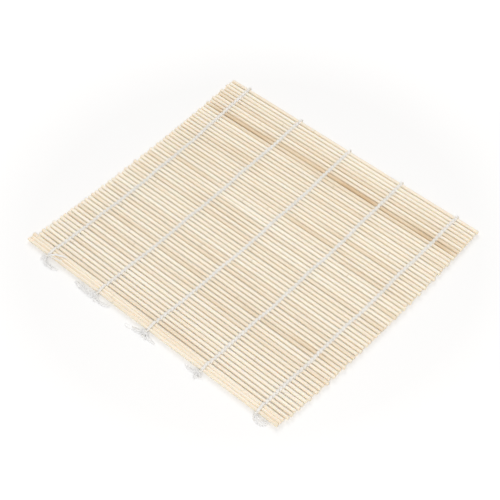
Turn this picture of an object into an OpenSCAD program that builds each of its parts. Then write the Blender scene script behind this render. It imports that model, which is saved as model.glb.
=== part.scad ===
// Sushi rolling mat: round bamboo sticks side by side, held by five rows of cotton cord.
// Each row is a pair of cords that twine: one passes over a stick while the other passes under it,
// and the two cross side by side in every gap. The gaps are the hinges of the mat.
// X runs along the sticks, Y from the knotted edge to the looped edge, and Z up.
// The origin is under the middle of the mat, on the surface that it lies on.

/* [Sticks] */
// Length of a stick
stick_length = 234; // [180:1:300]
// Diameter of a stick
stick_d = 2.5; // [2:0.1:3.5]
// Open space between two neighbouring sticks
stick_gap = 0.85; // [0.7:0.05:1.2]
// Open space between the three sticks that are tied together at the knotted edge
bundle_gap = 0.1; // [0.05:0.05:0.4]
// Bevel round both ends of a stick
end_bevel = 0.3; // [0.1:0.05:0.5]
// How far the middle sticks stand to the right of the outer ones
stick_bow = 2.8; // [0:0.2:6]
// How far the tied sticks stand to the left of the others
edge_shift = 1.4; // [0:0.2:4]
// How far a stick is cut longer or shorter than the others, at most
end_spread = 0.8; // [0:0.1:2]

/* [Cords] */
// Clearance between a cord and the stick on each side of it, in a gap
cord_clearance = 0.15; // [0.1:0.01:0.2]
// Sideways distance between the two cords of a row where they cross
cord_step = 1.1; // [0.9:0.05:1.5]
// Distance from one row of cords to the next
row_spacing = 48.8; // [30:0.2:55]
// Sideways place of the middle row at the knotted edge
row_centre = 1.4; // [-5:0.2:5]
// How deep the cords are pressed flat where they rest on the table
cord_flat = 0.06; // [0.03:0.01:0.1]
// Running clearance of the rounded cord ends in the gaps where the mat bends
hinge_clearance = 0.06; // [0.04:0.01:0.1]
// Height of the nip where the two cords of a row squeeze past each other
nip_height = 0.1; // [0.06:0.01:0.2]

/* [Edges] */
// Diameter of a knot
knot_d = 2.4; // [2:0.1:3]
// Width of a knot along the edge
knot_width = 2.2; // [1.8:0.1:3]
// Clearance between a knot and what it is tied to
knot_clearance = 0.03; // [0.02:0.01:0.1]
// How far a loose tail runs while it comes down to the table, or up on the sticks
tail_slope = 2; // [1.5:0.1:4]
// How far the loose loops at the other edge stand clear of the last stick
loop_reach = 1; // [0.5:0.1:3]

/* [Hidden] */
$fn = 48;
// The mat bends between groups of sticks: the tied edge sticks, then groups of three, then of two
EDGE_STICKS = 3;
WIDE_GROUPS = 8;
NARROW_GROUPS = 19;
WIDE_STICKS = 3;
NARROW_STICKS = 2;
GROUPS = 1 + WIDE_GROUPS + NARROW_GROUPS;
STICKS = EDGE_STICKS + WIDE_GROUPS * WIDE_STICKS + NARROW_GROUPS * NARROW_STICKS;
// How far each row of cords is tied to the right of its even place
ROW_SHIFT = [-0.5, 0.7, -0.3, 0.3, 0.1];
// Each row bows to the right in the middle of the mat, and leans to the left at the far edge
ROW_BOW = [4, 1.8, 2.6, 2, 1];
ROW_LEAN = [4, 1.4, 1.4, 2, 1];
ROWS = len(ROW_BOW);
// Loose tails: row, place from the middle of the knot, heading in degrees, where it lies,
// length of its last run and how far that run turns aside
ON_TABLE = 0;
ON_STICKS = 1;
TAILS = [
    [0, [1.3, 0.1], 11, ON_STICKS, 10, 4],
    [0, [-0.3, -1.25], -75, ON_TABLE, 0.8, 20],
    [1, [-1.3, -0.4], -158, ON_TABLE, 8, -14],
    [1, [0.5, -1.25], -62, ON_TABLE, 0.8, 25],
    [2, [-1.3, -0.4], -156, ON_TABLE, 8, -16],
    [2, [0, -1.25], -90, ON_TABLE, 1, 0],
    [3, [-1.3, -0.4], -162, ON_TABLE, 5.5, -12],
    [3, [0.6, -1.25], -65, ON_TABLE, 0.9, 30],
    [4, [1.3, -0.4], -35, ON_TABLE, 3.5, 45],
    [4, [0.1, -1.25], -82, ON_TABLE, 0.8, -10]
];
TAIL_LEAD = 0.25;
OUTERMOST_TAIL = 5;

stick_pitch = stick_d + stick_gap;
bundle_pitch = stick_d + bundle_gap;
cord_d = stick_gap - 2 * cord_clearance;
nip_d = 0.9 * cord_d;
kink_d = 1.06 * cord_d;
// The rounded end of a cord, on the axis on which the mat bends
round_end_d = 0.94 * cord_d;
round_end_width = 1.15 * cord_d;
// A cord passes a stick in a half circle, from the nip in one gap to the nip in the next
pass_r = norm([cord_step, stick_pitch]) / 2;
crown_z = pass_r + nip_height / 2;
// Height of the sticks' centre lines over the table
mid_z = crown_z + cord_d / 2 - cord_flat;
// The bend with which a cord turns down to its knot
drop_r = cord_d * 1.1;
knot_y = -(stick_d / 2 + knot_clearance + knot_d / 2);
wrap_r = (knot_d - cord_d) / 2;

function first_stick(k) = k == 0 ? 0
    : k <= WIDE_GROUPS ? EDGE_STICKS + (k - 1) * WIDE_STICKS
    : EDGE_STICKS + WIDE_GROUPS * WIDE_STICKS + (k - 1 - WIDE_GROUPS) * NARROW_STICKS;
function last_stick(k) = (k == GROUPS - 1 ? STICKS : first_stick(k + 1)) - 1;
// Places across the mat, counted from the first stick
function stick_y(i) = i < EDGE_STICKS ? i * bundle_pitch
    : (EDGE_STICKS - 1) * bundle_pitch + (i - EDGE_STICKS + 1) * stick_pitch;
function gap_y(j) = j == STICKS ? stick_y(STICKS - 1) + stick_pitch / 2 : stick_y(j) - stick_pitch / 2;
function bow(y) = let (t = y / stick_y(STICKS - 1)) 4 * t * (1 - t);
function stick_x(i) = stick_bow * bow(stick_y(i)) - (i < EDGE_STICKS ? edge_shift : 0)
    + end_spread / 2 * sin(i * 137);
function stick_len(i) = stick_length + end_spread * sin(i * 211);
// Sideways place of a row at gap j. At the last gap it stays that of the gap before
function row_x(r, j) = let (y = gap_y(min(j, STICKS - 1)))
    row_centre + (r - (ROWS - 1) / 2) * row_spacing + ROW_SHIFT[r]
    + ROW_BOW[r] * bow(y) - ROW_LEAN[r] * y / stick_y(STICKS - 1);

// The whole mat is centred on the origin
left_ends = [for (i = [0:STICKS - 1]) stick_x(i) - stick_len(i) / 2];
right_ends = [for (i = [0:STICKS - 1]) stick_x(i) + stick_len(i) / 2];
shift_x = -(min(left_ends) + max(right_ends)) / 2;
table_drop = mid_z - cord_d / 2 - knot_clearance;
near_y = knot_y + TAILS[OUTERMOST_TAIL][1][1] - TAIL_LEAD - tail_slope - TAILS[OUTERMOST_TAIL][4];
far_y = stick_y(STICKS - 1) + loop_reach + crown_z + cord_d / 2;
shift_y = -(near_y + far_y) / 2;

function two_digits(n) = n < 10 ? str("0", n) : str(n);
function stick_node(k) = str("sticks_", two_digits(k + 1));
function cord_node(k) = str("cords_", two_digits(k + 1));

module in_place() {
    translate([shift_x, shift_y, 0]) children();
}

// Everything that would reach below the table
module table() {
    side = 2 * stick_length;
    translate([-side / 2, -side / 2, -side / 4]) cube([side, side, side / 4]);
}

// One stick along X, centred on its own middle, with bevelled ends
module stick(length) {
    r = stick_d / 2;
    rotate([0, 90, 0]) rotate_extrude() polygon([
        [0, -length / 2], [r - end_bevel, -length / 2], [r, -length / 2 + end_bevel],
        [r, length / 2 - end_bevel], [r - end_bevel, length / 2], [0, length / 2]
    ]);
}

module stick_group(k) {
    color("burlywood") in_place() for (i = [first_stick(k):last_stick(k)])
        translate([stick_x(i), stick_y(i), mid_z]) stick(stick_len(i));
}

// An arc of cord in the XY plane, from angle a to angle b
module arc(r, a, b) {
    rotate([0, 0, a]) rotate_extrude(angle = b - a) translate([r, 0]) circle(d = cord_d);
}

// A straight length of cord along +X
module run(length) {
    rotate([0, 90, 0]) cylinder(d = cord_d, h = length);
}

// Which side of its row a cord is on in a gap: it comes up on the left and goes down on the right
function side_at(over, far) = (over == far ? -1 : 1) * cord_step / 2;

// A cord over or under stick i. a and b limit its half circle, from the far gap to the near one
module pass(r, i, over, a = 0, b = 180) {
    near_x = row_x(r, i) + side_at(over, false);
    far_x = row_x(r, i + 1) + side_at(over, true);
    translate([(near_x + far_x) / 2, stick_y(i), mid_z])
        rotate([0, 0, atan2(stick_pitch, far_x - near_x)])
        rotate([over ? 90 : -90, 0, 0]) translate([0, nip_height / 2, 0])
        arc(norm([far_x - near_x, stick_pitch]) / 2, a, b);
}

// The squeezed length of a cord at gap j
module nip(j, x) {
    translate([x, gap_y(j), mid_z]) cylinder(d = nip_d, h = nip_height, center = true);
}

// A cylinder on the axis on which the mat bends at gap j
module hinge_cylinder(j, x, width, d) {
    translate([x, gap_y(j), mid_z]) rotate([0, 90, 0]) cylinder(d = d, h = width, center = true);
}

module round_end(j, x) {
    hinge_cylinder(j, x, round_end_width, round_end_d);
}

// One cord through a group: it starts over or under the first stick and changes at every gap.
// Its far end is round about the bending axis, and its near end is hollowed to clear such an end
module cord(k, r, starts_over) {
    a = first_stick(k);
    b = last_stick(k);
    last = k == GROUPS - 1;
    ends_over = starts_over == ((b - a) % 2 == 0);
    difference() {
        union() {
            for (i = [a:b]) let (over = starts_over == ((i - a) % 2 == 0)) {
                pass(r, i, over, a = last && i == b ? 80 : 0);
                if (i < b) nip(i + 1, row_x(r, i + 1) + side_at(over, true));
            }
            if (!last) round_end(b + 1, row_x(r, b + 1) + side_at(ends_over, true));
        }
        hinge_cylinder(a, row_x(r, a), 4 * cord_step, cord_d + 2 * hinge_clearance);
        if (last) translate([row_x(r, b) - 5 * cord_step, stick_y(b), 0])
            cube([10 * cord_step, stick_pitch, 2 * mid_z + cord_d]);
        table();
    }
}

// A cord round the three tied sticks: it runs straight over or under them, down to its knot
module edge_cord(r, over) {
    near = [row_x(r, 0) + side_at(over, false), -stick_pitch / 2];
    far = [row_x(r, EDGE_STICKS) + side_at(over, true), gap_y(EDGE_STICKS)];
    span = norm(far - near);
    difference() {
        translate([near[0], near[1], mid_z])
            rotate([0, 0, atan2(far[1] - near[1], far[0] - near[0])])
            rotate([over ? 0 : 180, 0, 0]) {
                cylinder(d = cord_d, h = crown_z - drop_r);
                translate([drop_r, 0, crown_z - drop_r]) rotate([90, 0, 0]) arc(drop_r, 90, 180);
                translate([drop_r, 0, crown_z]) run(span - drop_r - pass_r);
                translate([span - pass_r, 0, nip_height / 2]) rotate([90, 0, 0])
                    arc(pass_r, 0, 90);
            }
        translate([near[0] - knot_width, knot_y, mid_z]) rotate([0, 90, 0])
            cylinder(d = knot_d + 2 * knot_clearance, h = 2 * knot_width);
        table();
    }
    round_end(EDGE_STICKS, far[0]);
}

module cord_group(k) {
    color("ivory") in_place() for (r = [0:ROWS - 1], over = [true, false])
        if (k == 0) edge_cord(r, over);
        else cord(k, r, over);
}

// A knot: the cord's turns lie side by side round a firm core
module knot() {
    rotate([0, 90, 0]) {
        translate([0, 0, -(knot_width - cord_d) / 2])
            cylinder(r = wrap_r, h = knot_width - cord_d);
        for (turn = [-1:1]) translate([0, 0, turn * (knot_width - cord_d) / 2]) rotate_extrude()
            translate([wrap_r, 0]) circle(d = cord_d);
    }
}

module end_knots() {
    color("white") in_place() for (r = [0:ROWS - 1])
        translate([row_x(r, 0), knot_y, mid_z]) knot();
}

// A loose tail along +X: a short lead, a slope that changes its height by h, and a last run
module tail(h, end, turn) {
    run(TAIL_LEAD);
    translate([TAIL_LEAD, 0, 0]) {
        sphere(d = kink_d);
        rotate([0, -atan2(h, tail_slope), 0]) run(norm([tail_slope, h]));
    }
    translate([TAIL_LEAD + tail_slope, 0, h]) {
        sphere(d = kink_d);
        rotate([0, 0, turn]) run(end);
    }
}

module cord_tails() {
    stick_rise = stick_d / 2 + cord_d / 2 + cord_clearance;
    color("white") in_place() for (t = TAILS)
        translate([row_x(t[0], 0) + t[1][0], knot_y + t[1][1], mid_z]) rotate([0, 0, t[2]])
            tail(t[3] == ON_STICKS ? stick_rise : -table_drop, t[4], t[5]);
}

// The closed start of a cord pair: it goes round the last stick and stands a little clear of it
module start_loop(r) {
    translate([row_x(r, STICKS), stick_y(STICKS - 1), mid_z]) rotate([0, 0, 90]) {
        for (z = [-crown_z, crown_z]) translate([0, 0, z]) run(loop_reach);
        translate([loop_reach, 0, 0]) rotate([90, 0, 0]) arc(crown_z, -90, 90);
    }
}

module start_loops() {
    color("white") in_place() difference() {
        for (r = [0:ROWS - 1]) start_loop(r);
        table();
    }
}

for (k = [0:GROUPS - 1]) stick_group(k);
for (k = [0:GROUPS - 1]) cord_group(k);
end_knots();
cord_tails();
start_loops();
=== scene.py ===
"""The looks of a sushi rolling mat: bamboo sticks held by five rows of twined cotton cord.

Lengths are in metres. X runs along the sticks, Y from the knotted edge to the looped edge, Z up.
"""

import math
import random

import bpy
import numpy as np
from mathutils import Matrix, Vector


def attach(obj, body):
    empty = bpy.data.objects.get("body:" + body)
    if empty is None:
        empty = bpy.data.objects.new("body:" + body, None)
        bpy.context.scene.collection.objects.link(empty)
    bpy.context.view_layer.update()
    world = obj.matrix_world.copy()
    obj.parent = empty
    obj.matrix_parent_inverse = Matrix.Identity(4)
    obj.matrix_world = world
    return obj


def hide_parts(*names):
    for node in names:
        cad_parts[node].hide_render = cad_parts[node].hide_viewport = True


MM = 0.001
SEED = 7
# Vertices of a solid that lie closer than this are one
WELD = 0.002 * MM

# Camera
CAMERA_AZIMUTH = 42.887
CAMERA_ELEVATION = 50.889
CAMERA_ROLL = -1.302
CAMERA_DISTANCE = 0.95796
CAMERA_LENS = 98.3
CAMERA_TARGET = (0.00588, -0.00917, 0.002)

# Sticks
STICK_SIDES = 24
STICK_STEP = 3 * MM
# A stick is shown a little thicker than its solid, and pinched where a row of cord crosses it
STICK_SIZE = 1.07
PINCH = 0.08
PINCH_REACH = 3.3 * MM
# Unevenness, as shares of the radius: two waves along the stick, each with its strength and its
# radians in each metre, then two round it, each with its strength and number of facets. The first
# of those turns by FACET_TWIST radians in each metre
STICK_WAVES = ((0.012, 38), (0.0072, 97))
STICK_FACETS = ((0.012, 3), (0.008, 5))
FACET_TWIST = 20
STICK_SQUARENESS = 0.015
# How far a stick bends off its line: reach, share of that, waves in its length sideways and up,
# and the shares for the upward bend and for tied sticks
STICK_WANDER = 0.11 * MM
WANDER_SHARES = (0.3, 1)
WANDER_WAVES = (1.3, 1.7)
WANDER_UP = 0.5
TIED_WANDER = 0.4
# Random phases of a stick. The last two are drawn but not used, to keep the order of the draws
PHASES = 8
# Bevelled ends: share of the bevel's length from the tip, and the size of the ring there
BEVEL = 0.28 * MM
BEVEL_RINGS = ((0, 0.0), (0, 0.72), (0.45, 0.93), (1, 1.0))
END_TILT = 0.1
TILT_REACH = 1.5 * BEVEL
CUT_FADE = 4 * MM
# Joints of the bamboo
JOINT_SHARE = 0.45
JOINT_REACH = 0.42
JOINT_WIDTH = 0.5 * MM
JOINT_RISE = 0.035 * MM
JOINT_RINGS = (-2, -1, -0.5, 0, 0.5, 1, 2)
# How dark a plain stick may be, and how that is spread over the sticks
STICK_TONE = 0.55
TONE_SPREAD = (1.4, 3.2)
# How far along the grain a stick's own material may start, in metres
GRAIN_SHIFT = (0, 10)
# Stained stretches: stick from the knotted edge, middle and half length in millimetres, strength
STAINS = [
    (57, -80, 40, 0.25), (57, -5, 55, 0.5), (57, 26, 14, 0.2), (57, 70, 45, 0.5),
    (57, 98, 18, 0.25), (56, -84, 36, 0.7), (56, 30, 90, 0.4), (58, 0, 60, 0.15),
    (58, 95, 32, 0.3), (55, -74, 32, 0.25), (49, -58, 22, 0.28), (48, -70, 36, 0.28),
    (45, 65, 40, 0.25), (44, -22, 18, 0.2), (42, 32, 32, 0.28), (40, 80, 24, 0.26),
    (39, -80, 24, 0.26), (34, -34, 30, 0.25), (19, 90, 16, 0.25), (18, -86, 18, 0.25),
    (18, -26, 32, 0.25), (18, 63, 38, 0.3), (9, 80, 20, 0.26), (8, -86, 14, 0.22),
    (4, 0, 100, 0.25),
]

# Cords: the two of a row lie CORD_STEP apart, narrow in the nip between sticks, wide over a stick
CORD_STEP = 1.3 * MM
CORD_WIDTH_AT_NIP = 1.3 * MM
CORD_WIDTH_OVER = 2.3 * MM
CORD_DEPTH = 0.72 * MM
CORD_SIDES = 18
RINGS_PER_PASS = 18
# Powers of the sine with which a cord rises and spreads over a stick: low ones give a flat top
HUMP = 0.62
SPREAD = 0.5
# Round the tied sticks: steps at either end, steps between them, and how close the pair lies at
# the knot
EDGE_RISE_STEPS = 8
EDGE_FLAT_STEPS = 12
EDGE_CLOSENESS = 0.7
PLIES = 3
PLY_DEPTH = 0.22
PLY_PITCH = 3.3 * MM
# Rounded ends of a cord: how far out, in half depths, and the size of the ring there
CAP_RINGS = ((0.4, 0.92), (0.8, 0.62), (1.0, 0.3))
# Loops at the start of the cords: reach past the last stick's middle, width, lean at the tip, steps
LOOP_REACH = 1.25 * MM
LOOP_WIDTH = 1.08 * CORD_WIDTH_AT_NIP
LOOP_LEAN = 0.105 * MM
LOOP_FLAT_STEPS = 4
LOOP_TURN_STEPS = 16
# Sideways sway of a row: strength, radians over its length, and shift from row to row
ROW_SWAY = ((0.35 * MM, 21, 2.3), (0.21 * MM, 47, 4.1))
# Knots and tails are of one cord, a little flattened. The knot's cord runs inside its solid's box
TAIL_D = 0.95 * MM
TAIL_FLATNESS = 0.9
KNOT_RINGS = 64
KNOT_SHAPE = np.array([1.05, 1.9, 1])
KNOT_INSET = 0.42 * TAIL_D
TAIL_REST = 0.52 * TAIL_D
# The last share of a tail's length comes apart: it gets wider and thinner
TAIL_FRAY = 0.25
TAIL_WIDENS = 0.35
TAIL_THINS = 0.25
# Loose tails: row, then points from the middle of the knot, in millimetres, across, out and up
TAILS = [
    (0, [(0.6, 0.2, 0.3), (1.8, 0.1, 1.3), (4, 0.6, 1.85), (8, 1.6, 1.9), (12, 2.9, 1.85)]),
    (0, [(-0.2, -0.6, 0), (-0.2, -1.7, -0.9), (0.4, -2.9, -1.45), (1.4, -3.6, -1.5)]),
    (1, [(-0.6, -0.3, 0), (-1.9, -0.9, -0.7), (-4.2, -1.9, -1.45), (-7.4, -2.5, -1.5),
         (-10.5, -2.6, -1.5)]),
    (1, [(0.4, -0.7, 0), (1.0, -1.9, -1), (1.8, -2.8, -1.5), (2.7, -3.2, -1.5)]),
    (2, [(-0.6, -0.3, 0), (-2.2, -1, -0.8), (-5, -2.1, -1.5), (-8, -2.7, -1.5),
         (-10.5, -2.8, -1.5)]),
    (2, [(0, -0.7, 0), (-0.2, -2, -0.9), (0.5, -3.4, -1.5), (-0.4, -4.3, -1.5)]),
    (3, [(-0.5, -0.4, 0), (-1.9, -0.9, -0.8), (-4, -1.6, -1.5), (-6, -2, -1.5), (-8, -2, -1.5)]),
    (3, [(0.4, -0.7, 0), (0.9, -1.9, -1), (1.7, -2.8, -1.5), (2.6, -3, -1.5)]),
    (4, [(0.6, -0.3, 0), (1.9, -1.2, -0.8), (3.6, -2.4, -1.5), (5.2, -2.2, -1.5), (6, -0.9, -1.5)]),
    (4, [(0.1, -0.7, 0), (0, -2, -1), (0.8, -3.3, -1.5), (2.3, -3.8, -1.5)]),
]
# Unravelled yarn at the knots: row, how far it spreads in millimetres, strands, path as above
TUFTS = [
    (0, 1.9, 12, [(-0.6, -0.6, -0.2), (-1.8, -1.8, -1.2), (-2.4, -2.8, -1.6), (-2.2, -3.6, -1.7)]),
    (0, 2.2, 20, [(0, -0.8, 0), (0, -2.6, -1.2), (2, -4, -1.6), (6, -4.4, -1.7), (10, -4.2, -1.7),
                  (14, -2.8, -1.7)]),
    (0, 1.2, 9, [(0.8, 0.2, 1), (2.6, 1.6, 1.9), (5.5, 4, 2), (9, 5.8, 2), (13.6, 7.4, 1.9)]),
    (1, 2.4, 22, [(-0.6, -0.6, 0), (-4, -2.2, -1.2), (-9, -2.8, -1.6), (-14, -2.4, -1.7),
                  (-20, -1.2, -1.7)]),
    (1, 2.4, 14, [(0.2, -1, 0), (0, -2.6, -1.2), (1.6, -3.8, -1.6), (4, -4, -1.7)]),
    (1, 2.0, 14, [(0.8, -0.8, 0), (3, -2.4, -1.5), (7, -3.2, -1.7), (10.5, -2.6, -1.7),
                  (14, -1.2, -1.7)]),
    (2, 2.2, 18, [(-0.8, -0.6, 0), (-3, -2.2, -1.2), (-6.5, -3, -1.6), (-10, -2.8, -1.7)]),
    (2, 0.3, 2, [(-1, -0.6, 0), (-6, -3.6, -1.4), (-11, -5.4, -1.7), (-14.5, -5.6, -1.7),
                 (-16.2, -4.6, -1.7), (-14, -3.8, -1.7), (-11.5, -3.8, -1.7)]),
    (2, 2.2, 14, [(0.2, -1, 0), (0, -2.6, -1.2), (1.4, -3.6, -1.6), (3.6, -3.6, -1.7)]),
    (2, 1.5, 9, [(0.8, -0.8, 0), (3.6, -2.6, -1.5), (7.5, -3.4, -1.7), (11, -3.6, -1.7)]),
    (3, 2.0, 16, [(-0.6, -0.6, 0), (-4, -2, -1.3), (-8, -2.4, -1.6), (-11.4, -1.9, -1.7)]),
    (3, 2.4, 16, [(-0.2, -1, 0), (-0.8, -2.6, -1.2), (-0.4, -3.8, -1.6), (1, -4.4, -1.7)]),
    (3, 1.5, 8, [(0.4, -0.9, 0), (1.4, -2, -1.2), (3.2, -2.6, -1.7)]),
    (4, 1.6, 14, [(0.5, -1, 0), (1.6, -2, -1.2), (4, -2.9, -1.6), (7, -3, -1.7), (9.6, -1.4, -1.7),
                  (10.6, 0.2, -1.6)]),
    (4, 1.8, 12, [(0.8, -0.6, 0), (3.4, -1.2, -1.2), (6.6, -1.2, -1.7), (9.6, -0.4, -1.7)]),
]
# A tuft of more than WAD_STRANDS strands has a dense middle: its height, its share of the spread,
# its lumps, and where it starts to taper. It is narrow at the knot, WAD_ROOT of its full size
WAD_STRANDS = 4
WAD_HEIGHT = 0.6 * MM
WAD_SPREAD = 0.8
WAD_LUMPS = (0.75, 1.2)
WAD_ROOT = 0.35
WAD_TAPER = 0.45
WAD_TIP = 0.02
# Strands and single fibres: thickness and its range, scatter across, out and up as shares of the
# spread, at the knot STRAND_ROOT of that, size and number of waves, one wave in radians, length as
# a share of the path, taper, and the least height of the middle as a share of the thickness
STRAND_D = 0.34 * MM
FIBRE_D = 0.06 * MM
FIBRES_PER_STRAND = 2
STRAND_WIDTHS = (0.7, 1.2)
STRAND_SCATTER = (0.6, 0.6, 0.2)
STRAND_ROOT = 0.25
STRAND_WAVE = 0.35 * MM
STRAND_WAVES = (0.6, 1.8)
ONE_WAVE = 6.3
STRAND_LENGTHS = (0.55, 1)
STRAND_TAPER = 0.6
STRAND_REST = 0.55
# A direction that no strand runs along
NEARLY_UP = (0.12, 0.2, 0.97)
# The lowest that a loose end may lie
TABLE = 0.02 * MM

# Colours. Shades are the stops of a ramp: its place and its colour
BAMBOO_SHADES = [(0.0, (0.96, 0.895, 0.79)), (0.3, (0.91, 0.82, 0.69)),
                 (0.6, (0.82, 0.695, 0.53)), (1.0, (0.70, 0.53, 0.345))]
FIBRE_SHADES = [(0.30, (0.86, 0.82, 0.74)), (0.52, (1, 1, 1))]
FIBRE_ROUGHNESS = [(0.3, (0.62, 0.62, 0.62)), (0.7, (0.46, 0.46, 0.46))]
# Painted shade: the flanks and underside of each stick, which face sideways or down into the gaps,
# are tinted warmer and darker
FLANK_PAINTED_SHADE = (1.0, 0.97, 0.87)
JOINT_COLOUR = (0.60, 0.50, 0.36)
CUT_COLOUR = (0.74, 0.63, 0.47)
# Cotton's own off-white, with painted shade: darker where the fuzz bump sinks into its furrows
COTTON_AND_PAINTED_FURROW_SHADES = [(0.3, (0.75, 0.725, 0.69)), (0.62, (0.895, 0.87, 0.835))]
SOIL_SHADES = [(0.3, (0.93, 0.925, 0.91)), (0.7, (1, 1, 1))]
FLUFF_SHADES = [(0.3, (0.79, 0.785, 0.78)), (0.6, (0.87, 0.865, 0.86))]
# The floor as the mat is lit by it, and as the camera sees it
FLOOR_COLOUR = (0.95, 0.95, 0.95)
FLOOR_SEEN = (0.85, 0.85, 0.855)

# Light
WORLD_STRENGTH = 0.445
KEY_POWER = 15
KEY_SIZE = 1.1
KEY_PLACE = (-1.2, 1.2, 1.5)
FILL_POWER = 33
FILL_SIZE = 1.1
FILL_PLACE = (1.04, -1.12, 1.88)
LAMP_TINT = (1, 0.985, 0.96)
FLOOR_SIZE = 12
# Painted glow added to the floor for the camera alone, weaker by the mat: by the mat, far from it,
# and its rise in each metre
GLOW_NEAR = 0.085
GLOW_FAR = 0.25
GLOW_RISE = 1.1
GLOW_START = -0.09


def unit(v):
    """The vector v at length one."""
    return v / np.linalg.norm(v)


# Reading the frame

def loose_parts(node):
    """The separate solids of a CAD node, each as its lowest and highest corners."""
    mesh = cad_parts[node].data
    points = np.empty(len(mesh.vertices) * 3)
    mesh.vertices.foreach_get("co", points)
    points = points.reshape(-1, 3)
    world = np.array(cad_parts[node].matrix_world)
    points = points @ world[:3, :3].T + world[:3, 3]
    _, same = np.unique(np.round(points / WELD).astype(int), axis=0, return_inverse=True)
    same = same.ravel()
    parent = list(range(same.max() + 1))

    def root(i):
        while parent[i] != i:
            parent[i] = parent[parent[i]]
            i = parent[i]
        return i

    for face in mesh.polygons:
        first = root(same[face.vertices[0]])
        for other in face.vertices[1:]:
            parent[root(same[other])] = first
    groups = {}
    for i, place in enumerate(same):
        groups.setdefault(root(place), []).append(i)
    return [(points[g].min(0), points[g].max(0)) for g in groups.values()]


def read_frame():
    """The sticks, from the knotted edge, and the sideways places of the rows of cord."""
    sticks = []
    samples = {}
    sections = sorted(n[-2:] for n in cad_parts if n.startswith("sticks_"))
    for section in sections:
        for low, high in loose_parts("sticks_" + section):
            sticks.append({"section": section, "low": low, "high": high,
                           "middle": (low + high) / 2})
        cords = sorted(loose_parts("cords_" + section), key=lambda box: box[0][0] + box[1][0])
        for row in range(len(cords) // 2):
            low = np.minimum(cords[2 * row][0], cords[2 * row + 1][0])
            high = np.maximum(cords[2 * row][1], cords[2 * row + 1][1])
            samples.setdefault(row, []).append(((low[1] + high[1]) / 2, (low[0] + high[0]) / 2))
    sticks.sort(key=lambda s: s["middle"][1])
    rows = [np.array(sorted(samples[row])) for row in sorted(samples)]
    return sections, sticks, rows


def row_x(row, y):
    """Sideways place of a row of cord at y: swaying along the mat, and straight past its edges."""
    places = ROWS[row]
    if y > places[-1][0]:
        slope = (places[-1][1] - places[-2][1]) / (places[-1][0] - places[-2][0])
        return places[-1][1] + slope * (y - places[-1][0])
    along = (y - places[0][0]) / (places[-1][0] - places[0][0])
    if along < 0:
        return places[0][1]
    sway = sum(size * math.sin(wave * along + shift * row) for size, wave, shift in ROW_SWAY)
    return np.interp(y, places[:, 0], places[:, 1]) + sway * math.sqrt(math.sin(math.pi * along))


# Meshes

def mesh_object(name, vertices, faces, attributes=None, smooth=True):
    """A new object in the scene. attributes gives a value at each vertex for a material to read."""
    mesh = bpy.data.meshes.new(name)
    mesh.from_pydata([tuple(v) for v in vertices], [], faces)
    mesh.polygons.foreach_set("use_smooth", [smooth] * len(mesh.polygons))
    for key, values in (attributes or {}).items():
        layer = mesh.attributes.new(key, "FLOAT", "POINT")
        layer.data.foreach_set("value", values)
    mesh.update()
    piece = bpy.data.objects.new(name, mesh)
    bpy.context.scene.collection.objects.link(piece)
    return piece


def ring_faces(start, rings, sides):
    """The side and end faces of a tube whose rings follow one another from vertex start."""
    faces = []
    for k in range(rings - 1):
        a = start + k * sides
        for j in range(sides):
            nxt = (j + 1) % sides
            faces.append((a + j, a + nxt, a + sides + nxt, a + sides + j))
    faces.append(tuple(start + j for j in reversed(range(sides))))
    faces.append(tuple(start + (rings - 1) * sides + j for j in range(sides)))
    return faces


# Sticks

def stick_stations(length, joints):
    """Places along a stick from its left end, each with the size of the ring there."""
    half = length / 2
    bevel = [(half - BEVEL * inward, size) for inward, size in BEVEL_RINGS]
    inner = np.linspace(-half + 2 * BEVEL, half - 2 * BEVEL, int(length / STICK_STEP))
    at_joints = [joint + step * JOINT_WIDTH for joint in joints for step in JOINT_RINGS]
    return ([(-x, size) for x, size in bevel] + [(x, 1.0) for x in sorted([*inner, *at_joints])]
            + bevel[::-1])


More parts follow.
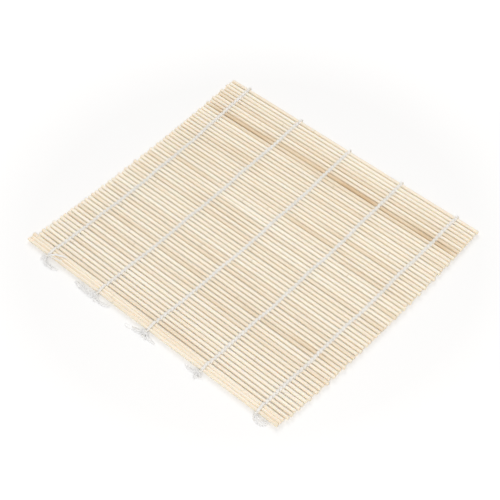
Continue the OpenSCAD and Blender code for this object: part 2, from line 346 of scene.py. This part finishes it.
def make_stick(number, stick):
    """A round bamboo stick: slightly uneven, with raised joints and roughly cut, bevelled ends."""
    rng = random.Random(SEED * 1000 + number)
    low, high, middle = stick["low"], stick["high"], stick["middle"]
    length = high[0] - low[0]
    radius = (high[2] - low[2]) / 2
    joints = []
    if rng.random() < JOINT_SHARE:
        joints = [rng.uniform(-JOINT_REACH, JOINT_REACH) * length]
    phases = [rng.uniform(0, 2 * math.pi) for _ in range(PHASES)]
    calm = TIED_WANDER if number < TIED else 1
    wander = [rng.uniform(*WANDER_SHARES) * STICK_WANDER * calm for _ in WANDER_WAVES]
    tilt = [rng.uniform(-END_TILT, END_TILT) for _ in range(4)]
    plain = rng.betavariate(*TONE_SPREAD) * STICK_TONE
    stains = [stain[1:] for stain in STAINS if stain[0] == number + 1]
    crossings = [row_x(row, middle[1]) - middle[0] for row in range(len(ROWS))]
    vertices, tones, cuts, bulges = [], [], [], []
    stations = stick_stations(length, joints)
    for x, size in stations:
        pinch = 1 - PINCH * sum(math.exp(-((x - place) / PINCH_REACH) ** 2) for place in crossings)
        swell = sum(strength * math.sin(wave * x + phase)
                    for (strength, wave), phase in zip(STICK_WAVES, phases))
        bulge = max([math.exp(-((x - joint) / JOINT_WIDTH) ** 2) for joint in joints] or [0])
        along = 2 * math.pi * x / length
        centre_y = wander[0] * math.sin(along * WANDER_WAVES[0] + phases[2])
        centre_z = wander[1] * WANDER_UP * math.sin(along * WANDER_WAVES[1] + phases[3])
        cut = max(0, 1 - (length / 2 - abs(x)) / CUT_FADE)
        tone = plain + sum(strength * math.exp(-((x / MM - place) / half) ** 4)
                           for place, half, strength in stains)
        end = 0 if x < 0 else 2
        tilted = abs(x) > length / 2 - TILT_REACH
        facet_phases = (phases[4] + FACET_TWIST * x, phases[5])
        for j in range(STICK_SIDES):
            angle = 2 * math.pi * j / STICK_SIDES
            facet = 1 + STICK_SQUARENESS * math.sin(2 * angle) ** 2
            for (strength, count), phase in zip(STICK_FACETS, facet_phases):
                facet += strength * math.cos(count * angle + phase)
            r = (radius * STICK_SIZE * pinch * (1 + swell) * facet + JOINT_RISE * bulge) * size
            y = r * math.cos(angle)
            z = r * math.sin(angle)
            slant = tilt[end] * y + tilt[end + 1] * z if tilted else 0
            vertices.append((middle[0] + min(max(x + slant, -length / 2), length / 2),
                             middle[1] + y + centre_y, middle[2] + z + centre_z))
            tones.append(tone)
            cuts.append(cut)
            bulges.append(bulge)
    faces = ring_faces(0, len(stations), STICK_SIDES)
    shifts = [rng.uniform(*GRAIN_SHIFT)] * len(vertices)
    piece = mesh_object(f"stick_{number + 1:02d}", vertices, faces,
                        {"tone": tones, "cut": cuts, "joint": bulges, "shift": shifts})
    piece.data.materials.append(BAMBOO)
    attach(piece, "section_" + stick["section"])
    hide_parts("sticks_" + stick["section"])


# Cords

def rounded_end(ring, outward):
    """Smaller rings past the first or last ring of a cord. outward is -1 at the first, else 1."""
    centre, tangent, across, up, a, b, twist = ring
    return [(centre + tangent * outward * b * reach, tangent, across, up, a * size, b * size, twist)
            for reach, size in CAP_RINGS]


def ply_tube(points, widths, depths, flat_to=(1, 0, 0), start_twist=0.0, caps=True):
    """A twisted cord along points, flattened towards flat_to, with its plies winding round it.

    Gives its vertices, its number of rings, and the twist at its far end.
    """
    points = np.array(points)
    tangents = np.gradient(points, axis=0)
    run = np.concatenate([[0], np.cumsum(np.linalg.norm(np.diff(points, axis=0), axis=1))])
    rings = []
    for k, centre in enumerate(points):
        tangent = unit(tangents[k])
        across = np.array(flat_to, dtype=float)
        across = unit(across - tangent * np.dot(across, tangent))
        up = np.cross(tangent, across)
        twist = start_twist + 2 * math.pi * run[k] / PLY_PITCH
        rings.append((centre, tangent, across, up, widths[k] / 2, depths[k] / 2, twist))
    if caps:
        rings = rounded_end(rings[0], -1)[::-1] + rings + rounded_end(rings[-1], 1)
    vertices = []
    for centre, _, across, up, a, b, twist in rings:
        for j in range(CORD_SIDES):
            angle = 2 * math.pi * j / CORD_SIDES
            lobe = 1 - PLY_DEPTH * (1 - abs(math.cos(PLIES / 2 * (angle - twist))))
            vertices.append(centre + across * a * lobe * math.cos(angle)
                            + up * b * lobe * math.sin(angle))
    return vertices, len(rings), start_twist + 2 * math.pi * run[-1] / PLY_PITCH


def side_at(over, far):
    """How far a cord lies from the middle of its row, at the near or far end of a pass."""
    return (-1 if over == far else 1) * CORD_STEP / 2


def pass_points(row, number, over):
    """One pass over or under a stick, from the nip before it to the nip after it."""
    middle = STICKS[number]["middle"]
    reach = PITCH / 2
    rise = CROWN if over else -CROWN
    near = row_x(row, middle[1] - reach) + side_at(over, False)
    far = row_x(row, middle[1] + reach) + side_at(over, True)
    points, spread = [], []
    for k in range(RINGS_PER_PASS + 1):
        t = math.pi * k / RINGS_PER_PASS
        points.append((near + (far - near) * (1 - math.cos(t)) / 2,
                       middle[1] - reach * math.cos(t),
                       middle[2] + rise * abs(math.sin(t)) ** HUMP))
        spread.append(abs(math.sin(t)) ** SPREAD)
    return points, spread


def edge_points(row, over):
    """The stretch round the tied sticks: from the knot, straight over or under, into the gap."""
    first, last = STICKS[0]["middle"], STICKS[TIED - 1]["middle"]
    reach = PITCH / 2
    rise = CROWN if over else -CROWN
    near_y, far_y = first[1] - reach, last[1] + reach
    near = row_x(row, near_y) + side_at(over, False) * EDGE_CLOSENESS
    far = row_x(row, far_y) + side_at(over, True)
    path = []
    for k in range(EDGE_RISE_STEPS + 1):
        t = math.pi / 2 * k / EDGE_RISE_STEPS
        path.append((first[1] - reach * math.cos(t), rise * math.sin(t) ** HUMP))
    for k in range(1, EDGE_FLAT_STEPS + 1):
        path.append((first[1] + (last[1] - first[1]) * k / EDGE_FLAT_STEPS, rise))
    for k in range(1, EDGE_RISE_STEPS + 1):
        t = math.pi / 2 * (1 + k / EDGE_RISE_STEPS)
        path.append((last[1] - reach * math.cos(t), rise * abs(math.sin(t)) ** HUMP))
    points, spread = [], []
    for y, z in path:
        share = (y - near_y) / (far_y - near_y)
        points.append((near + (far - near) * share, y, first[2] + z))
        spread.append(min(1, abs(z) / CROWN))
    return points, spread


def end_points(row, number, over):
    """The last pass: from the last nip up to the middle of the last stick."""
    points, spread = pass_points(row, number, over)
    half = RINGS_PER_PASS // 2 + 1
    return points[:half], spread[:half]


def widths_for(spread):
    """Widths of a cord, from how far it has spread over a stick at each point."""
    return [CORD_WIDTH_AT_NIP + (CORD_WIDTH_OVER - CORD_WIDTH_AT_NIP) * s for s in spread]


def make_cords():
    """All rows, one piece for each section of the mat. The twist runs on from one to the next."""
    twist = {}
    for index, section in enumerate(SECTIONS):
        members = [i for i, stick in enumerate(STICKS) if stick["section"] == section]
        vertices, faces = [], []
        for row in range(len(ROWS)):
            for phase in (0, 1):
                if index == 0:
                    points, spread = edge_points(row, phase == 1)
                else:
                    points, spread = [], []
                    for i in members:
                        over = (i - TIED) % 2 == phase
                        take = end_points if i == len(STICKS) - 1 else pass_points
                        more, more_spread = take(row, i, over)
                        points += more[1 if points else 0:]
                        spread += more_spread[1 if spread else 0:]
                depths = [CORD_DEPTH] * len(points)
                key = (row, phase)
                ring_vertices, rings, twist[key] = ply_tube(
                    points, widths_for(spread), depths, start_twist=twist.get(key, row + 2 * phase))
                faces += ring_faces(len(vertices), rings, CORD_SIDES)
                vertices += ring_vertices
        piece = mesh_object(f"twined_cords_{section}", vertices, faces)
        finish_cord(piece, section, "cords_" + section)


def finish_cord(piece, section, *nodes, material=None):
    piece.data.materials.append(material or COTTON)
    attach(piece, "section_" + section)
    if nodes:
        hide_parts(*nodes)


def make_start_loops():
    """The closed start of each pair of cords, a small loop that stands clear of the last stick."""
    last = STICKS[-1]["middle"]
    vertices, faces = [], []
    for row in range(len(ROWS)):
        x = row_x(row, last[1])
        points = []
        for k in range(LOOP_FLAT_STEPS + 1):
            points.append((x, last[1] + LOOP_REACH * k / LOOP_FLAT_STEPS, CROWN))
        for k in range(1, LOOP_TURN_STEPS + 1):
            t = math.pi * k / LOOP_TURN_STEPS
            points.append((x, last[1] + LOOP_REACH + CROWN * math.sin(t), CROWN * math.cos(t)))
        for k in range(1, LOOP_FLAT_STEPS + 1):
            points.append((x, last[1] + LOOP_REACH * (1 - k / LOOP_FLAT_STEPS), -CROWN))
        lean = LOOP_LEAN * math.sin(row * 2.1)
        points = [(px + lean * (py - last[1]) / LOOP_REACH, py, last[2] + pz)
                  for px, py, pz in points]
        tube, rings, _ = ply_tube(points, [LOOP_WIDTH] * len(points),
                                  [CORD_DEPTH] * len(points), start_twist=row)
        faces += ring_faces(len(vertices), rings, CORD_SIDES)
        vertices += tube
    piece = mesh_object("start_loops_of_cord", vertices, faces)
    finish_cord(piece, SECTIONS[-1], "start_loops")


def knot_middle(row):
    """The middle of the knot at the end of a row."""
    low, high = KNOTS[row]
    return (low + high) / 2


def trefoil(t):
    """A closed overhand knot, about one unit in radius."""
    return np.array([(math.sin(t) + 2 * math.sin(2 * t)) / 3, -math.sin(3 * t) / 3 * 1.1,
                     (math.cos(t) - 2 * math.cos(2 * t)) / 3])


def make_knots():
    """An overhand knot at the end of each row, each turned a little differently."""
    vertices, faces = [], []
    for row in range(len(ROWS)):
        low, high = KNOTS[row]
        size = (high - low) / 2
        spin = (Matrix.Rotation(0.7 * row + 0.3, 3, "Y")
                @ Matrix.Rotation(0.25 * math.sin(3 * row), 3, "X"))
        points = []
        for k in range(KNOT_RINGS + 1):
            p = np.array(spin @ Vector(trefoil(2 * math.pi * k / KNOT_RINGS)))
            points.append(knot_middle(row) + p * (size - KNOT_INSET) * KNOT_SHAPE)
        depths = [TAIL_D * TAIL_FLATNESS] * len(points)
        tube, rings, _ = ply_tube(points, [TAIL_D] * len(points), depths,
                                  flat_to=(0.3, 0.9, 0.2), start_twist=row, caps=False)
        faces += ring_faces(len(vertices), rings, CORD_SIDES)
        vertices += tube
    piece = mesh_object("knots_of_cord", vertices, faces)
    finish_cord(piece, SECTIONS[0], "end_knots")


def smooth_path(points, steps=10):
    """A smooth curve through the points."""
    points = [np.array(p, dtype=float) for p in points]
    ends = [2 * points[0] - points[1]] + points + [2 * points[-1] - points[-2]]
    out = []
    for a, b, c, d in zip(ends, ends[1:], ends[2:], ends[3:]):
        for k in range(steps):
            t = k / steps
            out.append(0.5 * (2 * b + (c - a) * t + (2 * a - 5 * b + 4 * c - d) * t ** 2
                              + (3 * b - a - 3 * c + d) * t ** 3))
    out.append(points[-1])
    return out


def make_tails():
    """The loose ends of the cords, a little wider where they come apart."""
    vertices, faces = [], []
    for row, shape in TAILS:
        middle = knot_middle(row)
        path = smooth_path([middle + np.array(p) * MM for p in shape])
        path = [np.array([p[0], p[1], max(p[2], TAIL_REST)]) for p in path]
        frays = [max(0, k / len(path) - 1 + TAIL_FRAY) / TAIL_FRAY for k in range(len(path))]
        widths = [TAIL_D * (1 + TAIL_WIDENS * fray) for fray in frays]
        depths = [TAIL_D * (TAIL_FLATNESS - TAIL_THINS * fray) for fray in frays]
        tube, rings, _ = ply_tube(path, widths, depths, flat_to=(0.7, 0.7, 0.1), start_twist=row)
        faces += ring_faces(len(vertices), rings, CORD_SIDES)
        vertices += tube
    vertices = [(x, y, max(z, TABLE)) for x, y, z in vertices]
    tails = mesh_object("loose_tails_of_cord", vertices, faces)
    finish_cord(tails, SECTIONS[0], "cord_tails")


def make_tufts():
    """Soft unravelled yarn round the knots: strands and fibres that leave the knot and spread."""
    rng = random.Random(SEED)
    vertices, faces = [], []
    for row, spread, strands, shape in TUFTS:
        middle = knot_middle(row)
        path = smooth_path([middle + np.array(p) * MM for p in shape], steps=6)
        if strands > WAD_STRANDS:
            faces += wad(vertices, path, spread * WAD_SPREAD * MM, rng)
        for count, width in ((strands, STRAND_D), (strands * FIBRES_PER_STRAND, FIBRE_D)):
            for _ in range(count):
                aside = np.array([rng.gauss(0, scatter) for scatter in STRAND_SCATTER])
                aside[2] = abs(aside[2])
                aside *= spread * MM
                wave = np.array([rng.gauss(0, 1), rng.gauss(0, 1), 0]) * STRAND_WAVE
                phase, waves = rng.uniform(0, ONE_WAVE), rng.uniform(*STRAND_WAVES)
                last = max(4, int(len(path) * rng.uniform(*STRAND_LENGTHS)))
                points = []
                for k in range(last):
                    t = k / (len(path) - 1)
                    p = (path[k] + aside * (STRAND_ROOT + (1 - STRAND_ROOT) * t)
                         + wave * math.sin(phase + waves * ONE_WAVE * t))
                    p[2] = max(p[2], width * STRAND_REST)
                    points.append(p)
                faces += thin_tube(vertices, points, width / 2 * rng.uniform(*STRAND_WIDTHS))
    vertices = [(x, y, max(z, TABLE)) for x, y, z in vertices]
    piece = mesh_object("tufts_of_cotton_yarn", vertices, faces)
    finish_cord(piece, SECTIONS[0], material=FLUFF)


def wad(vertices, path, reach, rng, sides=14):
    """Adds the dense middle of a tuft, a soft lump that is narrow at the knot and at its tip."""
    start = len(vertices)
    tangents = np.gradient(np.array(path), axis=0)
    swell = [rng.uniform(*WAD_LUMPS) for _ in range(sides * 3)]
    for k, centre in enumerate(path):
        t = k / (len(path) - 1)
        fade = max(0, t - WAD_TAPER) / (1 - WAD_TAPER)
        size = (WAD_ROOT + (1 - WAD_ROOT) * t) * math.sqrt(max(WAD_TIP, 1 - fade ** 2))
        side = unit(np.cross(tangents[k], (0, 0, 1)))
        for j in range(sides):
            angle = 2 * math.pi * j / sides
            lump = 0.5 * (swell[(j * 3 + k) % len(swell)] + swell[(j + 2 * k) % len(swell)])
            vertices.append(centre + side * reach * size * lump * math.cos(angle)
                            + np.array([0, 0, WAD_HEIGHT * size * lump * math.sin(angle)]))
    return ring_faces(start, len(path), sides)


def thin_tube(vertices, points, radius, sides=6):
    """Adds a thin strand that tapers to its tip, and returns its faces."""
    start = len(vertices)
    tangents = np.gradient(np.array(points), axis=0)
    for k, centre in enumerate(points):
        tangent = unit(tangents[k])
        across = unit(np.cross(tangent, NEARLY_UP))
        up = np.cross(tangent, across)
        r = radius * (1 - STRAND_TAPER * k / len(points))
        for j in range(sides):
            angle = 2 * math.pi * j / sides
            vertices.append(centre + across * r * math.cos(angle) + up * r * math.sin(angle))
    return ring_faces(start, len(points), sides)


# Materials

def new_material(name):
    """A new material with its nodes, its links and its shader."""
    material = bpy.data.materials.new(name)
    material.use_nodes = True
    nodes, links = material.node_tree.nodes, material.node_tree.links
    return material, nodes, links, nodes["Principled BSDF"]


def add(nodes, kind, **values):
    """A new shader node of this kind."""
    node = nodes.new("ShaderNode" + kind)
    for key, value in values.items():
        setattr(node, key, value)
    return node


def attribute(nodes, name):
    """The value that the mesh gives at each vertex under this name."""
    return add(nodes, "Attribute", attribute_name=name).outputs["Fac"]


def noise(nodes, links, vector, scale, detail=3, rough=0.5):
    """Noise stretched along the axes: scale gives its cells in each metre along X, Y and Z."""
    mapping = add(nodes, "Mapping")
    mapping.inputs["Scale"].default_value = scale
    links.new(vector, mapping.inputs["Vector"])
    texture = add(nodes, "TexNoise")
    texture.inputs["Scale"].default_value = 1
    texture.inputs["Detail"].default_value = detail
    texture.inputs["Roughness"].default_value = rough
    links.new(mapping.outputs["Vector"], texture.inputs["Vector"])
    return texture.outputs["Fac"]


def math_node(nodes, links, operation, a, b=0.0, clamp=False):
    """The result of one operation on a and b, which are numbers or sockets."""
    node = add(nodes, "Math", operation=operation, use_clamp=clamp)
    for socket, value in zip(node.inputs, (a, b)):
        if isinstance(value, (int, float)):
            socket.default_value = value
        else:
            links.new(value, socket)
    return node.outputs[0]


def ramp(nodes, links, value, stops):
    """The colour for a value between 0 and 1, from stops of a place and a colour."""
    node = add(nodes, "ValToRGB")
    elements = node.color_ramp.elements
    while len(elements) < len(stops):
        elements.new(0.5)
    for element, (place, colour) in zip(elements, stops):
        element.position = place
        element.color = (*colour, 1)
    links.new(value, node.inputs["Fac"])
    return node.outputs["Color"]


def mix(nodes, links, blend, factor, a, b):
    """Colour a blended with b, by a factor that is a number or a socket."""
    node = add(nodes, "Mix", data_type="RGBA", blend_type=blend)
    sockets = node.inputs[0], node.inputs[6], node.inputs[7]
    for socket, value in zip(sockets, (factor, a, b)):
        if isinstance(value, tuple):
            socket.default_value = (*value, 1)
        elif isinstance(value, (int, float)):
            socket.default_value = value
        else:
            links.new(value, socket)
    return node.outputs[2]


def soften(shader, weight, radius, scale):
    """Lets light spread under the surface."""
    shader.inputs["Subsurface Weight"].default_value = weight
    shader.inputs["Subsurface Radius"].default_value = radius
    shader.inputs["Subsurface Scale"].default_value = scale


def emboss(nodes, links, shader, height, strength, distance):
    """Raises the surface where height is high."""
    bump = add(nodes, "Bump")
    bump.inputs["Strength"].default_value = strength
    bump.inputs["Distance"].default_value = distance
    links.new(height, bump.inputs["Height"])
    links.new(bump.outputs["Normal"], shader.inputs["Normal"])


def shifted_coordinates(nodes, links):
    """Object coordinates, moved along by an amount of each stick's own."""
    place = add(nodes, "TexCoord").outputs["Object"]
    offset = add(nodes, "CombineXYZ")
    links.new(attribute(nodes, "shift"), offset.inputs["X"])
    total = add(nodes, "VectorMath", operation="ADD")
    links.new(place, total.inputs[0])
    links.new(offset.outputs["Vector"], total.inputs[1])
    return total.outputs["Vector"]


def sum_of(nodes, links, *terms):
    """The sum of terms, each a value and its weight."""
    total = 0.0
    for value, weight in terms:
        weighted = math_node(nodes, links, "MULTIPLY", value, weight)
        total = math_node(nodes, links, "ADD", weighted, total)
    return total


def bamboo_material():
    """Pale split bamboo: fine fibres along the stick, broad streaks, darker joints and cut ends,
    and painted shade on the flanks of each stick.
    """
    material, nodes, links, shader = new_material("bamboo")
    place = shifted_coordinates(nodes, links)
    unshifted = add(nodes, "TexCoord")
    fibres = noise(nodes, links, place, (30, 4200, 4200), 4, 0.6)
    streaks = noise(nodes, links, place, (9, 900, 900), 3, 0.55)
    patches = noise(nodes, links, place, (14, 60, 60), 2, 0.5)
    clouds = noise(nodes, links, unshifted.outputs["Object"], (11, 20, 20), 2, 0.5)
    shade = sum_of(nodes, links, (streaks, 0.65), (attribute(nodes, "tone"), 1.0), (patches, 0.45),
                   (clouds, 0.25))
    shade = math_node(nodes, links, "SUBTRACT", shade, 0.63, clamp=True)
    colour = ramp(nodes, links, shade, BAMBOO_SHADES)
    dark_fibre = ramp(nodes, links, fibres, FIBRE_SHADES)
    colour = mix(nodes, links, "MULTIPLY", 0.6, colour, dark_fibre)
    # Painted shade: the more the surface faces sideways or down, the more it takes the flank tint
    facing = add(nodes, "SeparateXYZ")
    links.new(unshifted.outputs["Normal"], facing.inputs[0])
    crown = math_node(nodes, links, "MULTIPLY", facing.outputs[2], 1.5)
    painted_flank_shade = math_node(nodes, links, "SUBTRACT", 1.0, crown, clamp=True)
    colour = mix(nodes, links, "MULTIPLY", painted_flank_shade, colour, FLANK_PAINTED_SHADE)
    joint = math_node(nodes, links, "MULTIPLY", attribute(nodes, "joint"), 0.4)
    colour = mix(nodes, links, "MIX", joint, colour, JOINT_COLOUR)
    cut = math_node(nodes, links, "POWER", attribute(nodes, "cut"), 5)
    cut = math_node(nodes, links, "MULTIPLY", cut, 0.3)
    colour = mix(nodes, links, "MIX", cut, colour, CUT_COLOUR)
    links.new(colour, shader.inputs["Base Color"])
    roughness = ramp(nodes, links, fibres, FIBRE_ROUGHNESS)
    links.new(roughness, shader.inputs["Roughness"])
    soften(shader, 0.25, (1.0, 0.8, 0.6), 1.0 * MM)
    emboss(nodes, links, shader, fibres, 0.35, 0.05 * MM)
    return material


def cotton_material():
    """Matte white cotton yarn with fine crossing fibres, and painted shade that makes it faintly
    grey in the furrows of its bump.
    """
    material, nodes, links, shader = new_material("cotton_cord")
    place = add(nodes, "TexCoord").outputs["Object"]
    fuzz = noise(nodes, links, place, (5200, 3400, 5200), 4, 0.65)
    soil = noise(nodes, links, place, (120, 90, 120), 2, 0.5)
    # Painted shade: the colour darkens where the fuzz is low, in the furrows of the bump
    colour = ramp(nodes, links, fuzz, COTTON_AND_PAINTED_FURROW_SHADES)
    tint = ramp(nodes, links, soil, SOIL_SHADES)
    colour = mix(nodes, links, "MULTIPLY", 1.0, colour, tint)
    links.new(colour, shader.inputs["Base Color"])
    shader.inputs["Roughness"].default_value = 0.92
    shader.inputs["Sheen Weight"].default_value = 0.25
    shader.inputs["Sheen Roughness"].default_value = 0.5
    soften(shader, 0.5, (1.0, 1.0, 0.95), 0.6 * MM)
    emboss(nodes, links, shader, fuzz, 0.6, 0.06 * MM)
    return material


def fluff_material():
    """Loose cotton fibres: matt, and a little uneven in shade."""
    material, nodes, links, shader = new_material("cotton_fluff")
    place = add(nodes, "TexCoord").outputs["Object"]
    uneven = noise(nodes, links, place, (700, 700, 700), 3, 0.6)
    colour = ramp(nodes, links, uneven, FLUFF_SHADES)
    links.new(colour, shader.inputs["Base Color"])
    shader.inputs["Roughness"].default_value = 0.95
    shader.inputs["Sheen Weight"].default_value = 0.3
    soften(shader, 0.05, (1.0, 1.0, 1.0), 0.1 * MM)
    return material


def floor_material():
    """A plain pale floor that keeps the mat's shadow. To the camera alone it has a painted glow,
    weaker by the mat, that goes white further out.
    """
    material, nodes, links, shader = new_material("pale_floor")
    seen = add(nodes, "LightPath").outputs["Is Camera Ray"]
    colour = mix(nodes, links, "MIX", seen, FLOOR_COLOUR, FLOOR_SEEN)
    links.new(colour, shader.inputs["Base Color"])
    # Painted light: a glow seen only by the camera, rising with the distance from the middle of the
    # mat
    away = add(nodes, "VectorMath", operation="LENGTH")
    links.new(add(nodes, "NewGeometry").outputs["Position"], away.inputs[0])
    glow = math_node(nodes, links, "MULTIPLY", away.outputs["Value"], GLOW_RISE)
    glow = math_node(nodes, links, "ADD", glow, GLOW_START)
    glow = math_node(nodes, links, "MAXIMUM", glow, GLOW_NEAR)
    glow = math_node(nodes, links, "MINIMUM", glow, GLOW_FAR)
    shader.inputs["Emission Color"].default_value = (1, 1, 1, 1)
    links.new(math_node(nodes, links, "MULTIPLY", seen, glow), shader.inputs["Emission Strength"])
    shader.inputs["Roughness"].default_value = 0.9
    shader.inputs["Specular IOR Level"].default_value = 0.1
    return material


# Camera, floor and light

def make_camera():
    """The camera where the photograph's stood."""
    azimuth, elevation, roll = map(math.radians, (CAMERA_AZIMUTH, CAMERA_ELEVATION, CAMERA_ROLL))
    target = Vector(CAMERA_TARGET)
    back = Vector((math.sin(azimuth) * math.cos(elevation),
                   -math.cos(azimuth) * math.cos(elevation), math.sin(elevation)))
    right = Vector((math.cos(azimuth), math.sin(azimuth), 0))
    up = back.cross(right)
    rolled_right = right * math.cos(roll) + up * math.sin(roll)
    rolled_up = up * math.cos(roll) - right * math.sin(roll)
    turn = Matrix((rolled_right, rolled_up, back)).transposed().to_4x4()
    data = bpy.data.cameras.new("camera")
    data.lens = CAMERA_LENS
    data.sensor_width = 36
    data.sensor_fit = "HORIZONTAL"
    data.clip_start = 0.01
    data.clip_end = 50
    camera = bpy.data.objects.new("camera", data)
    camera.matrix_world = Matrix.Translation(target + back * CAMERA_DISTANCE) @ turn
    bpy.context.scene.collection.objects.link(camera)
    bpy.context.scene.camera = camera


def make_stage():
    """The floor, which is not part of the mat."""
    half = FLOOR_SIZE / 2
    corners = [(-half, -half, 0), (half, -half, 0), (half, half, 0), (-half, half, 0)]
    floor = mesh_object("floor", corners, [(0, 1, 2, 3)], smooth=False)
    floor.data.materials.append(floor_material())


def make_light():
    """An even white world, a key lamp behind the mat and a fill lamp by the camera."""
    world = bpy.data.worlds.new("studio")
    world.use_nodes = True
    bpy.context.scene.world = world
    background = world.node_tree.nodes["Background"]
    background.inputs["Color"].default_value = (1, 1, 1, 1)
    background.inputs["Strength"].default_value = WORLD_STRENGTH
    for name, power, size, place in (("key", KEY_POWER, KEY_SIZE, KEY_PLACE),
                                     ("fill", FILL_POWER, FILL_SIZE, FILL_PLACE)):
        data = bpy.data.lights.new(name, "AREA")
        data.energy = power
        data.shape = "DISK"
        data.size = size
        data.color = LAMP_TINT
        lamp = bpy.data.objects.new(name, data)
        lamp.location = place
        lamp.rotation_euler = Vector(place).to_track_quat("Z", "Y").to_euler()
        bpy.context.scene.collection.objects.link(lamp)
    bpy.context.scene.view_settings.view_transform = "Standard"


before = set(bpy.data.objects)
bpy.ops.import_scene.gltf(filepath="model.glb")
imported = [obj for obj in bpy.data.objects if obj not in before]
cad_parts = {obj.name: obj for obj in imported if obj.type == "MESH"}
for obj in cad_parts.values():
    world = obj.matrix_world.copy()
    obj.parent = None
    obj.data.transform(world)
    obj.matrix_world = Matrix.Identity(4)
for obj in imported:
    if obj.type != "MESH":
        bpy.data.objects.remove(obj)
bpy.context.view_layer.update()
make_camera()
make_light()

SECTIONS, STICKS, ROWS = read_frame()
KNOTS = sorted(loose_parts("end_knots"), key=lambda box: box[0][0])
TIED = sum(1 for stick in STICKS if stick["section"] == SECTIONS[0])
PITCH = STICKS[-1]["middle"][1] - STICKS[-2]["middle"][1]
# Height of a cord's middle above that of the stick it crosses
STICK_D = STICKS[0]["high"][2] - STICKS[0]["low"][2]
CROWN = (STICK_D * STICK_SIZE * (1 - PINCH / 2) + CORD_DEPTH) / 2
BAMBOO = bamboo_material()
COTTON = cotton_material()
FLUFF = fluff_material()

for number, stick in enumerate(STICKS):
    make_stick(number, stick)
make_cords()
make_start_loops()
make_knots()
make_tails()
make_tufts()
make_stage()
